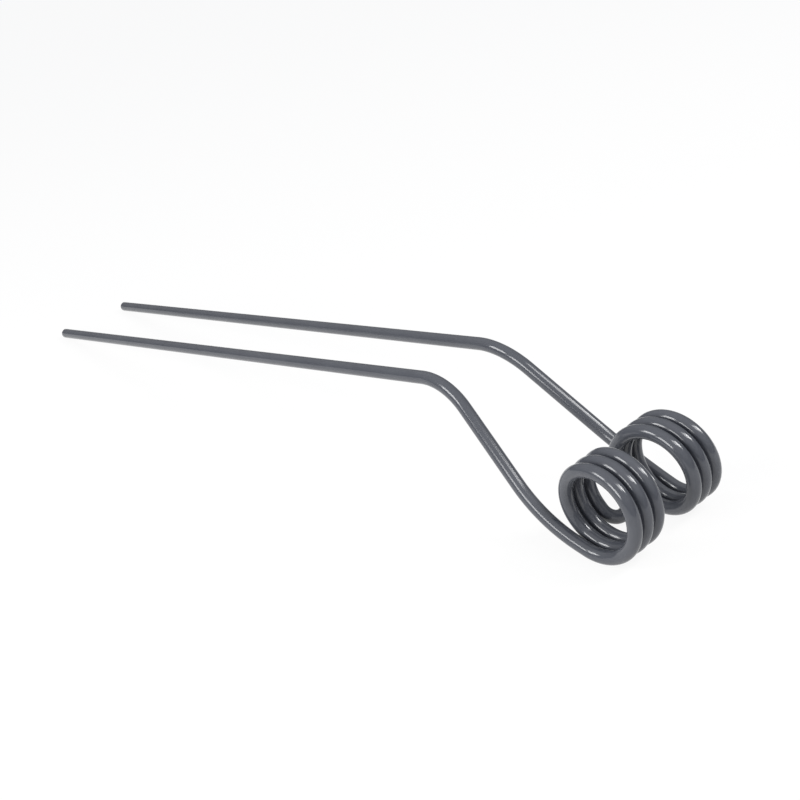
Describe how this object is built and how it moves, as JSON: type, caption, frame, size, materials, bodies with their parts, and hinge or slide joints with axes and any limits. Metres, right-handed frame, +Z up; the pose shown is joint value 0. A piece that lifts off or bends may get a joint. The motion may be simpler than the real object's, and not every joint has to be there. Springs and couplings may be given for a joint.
{
  "type": "belt rake tine",
  "caption": "Double spring tine of bent round wire: a pair of long raking arms, cranked legs and close coils joined by a round clamp loop.",
  "frame": {"origin": "the floor under the middle of the tine's outline, as it lies on the undersides of its coils and tips", "axes": "+X from the tips to the coils, +Y along the coil axis, +Z up from the floor"},
  "size_m": [0.4756, 0.0614, 0.0567],
  "materials": {
    "painted_wire": "gloss"
  },
  "bodies": {
    "root": {"tine": "painted_wire"}
  },
  "joints": []
}
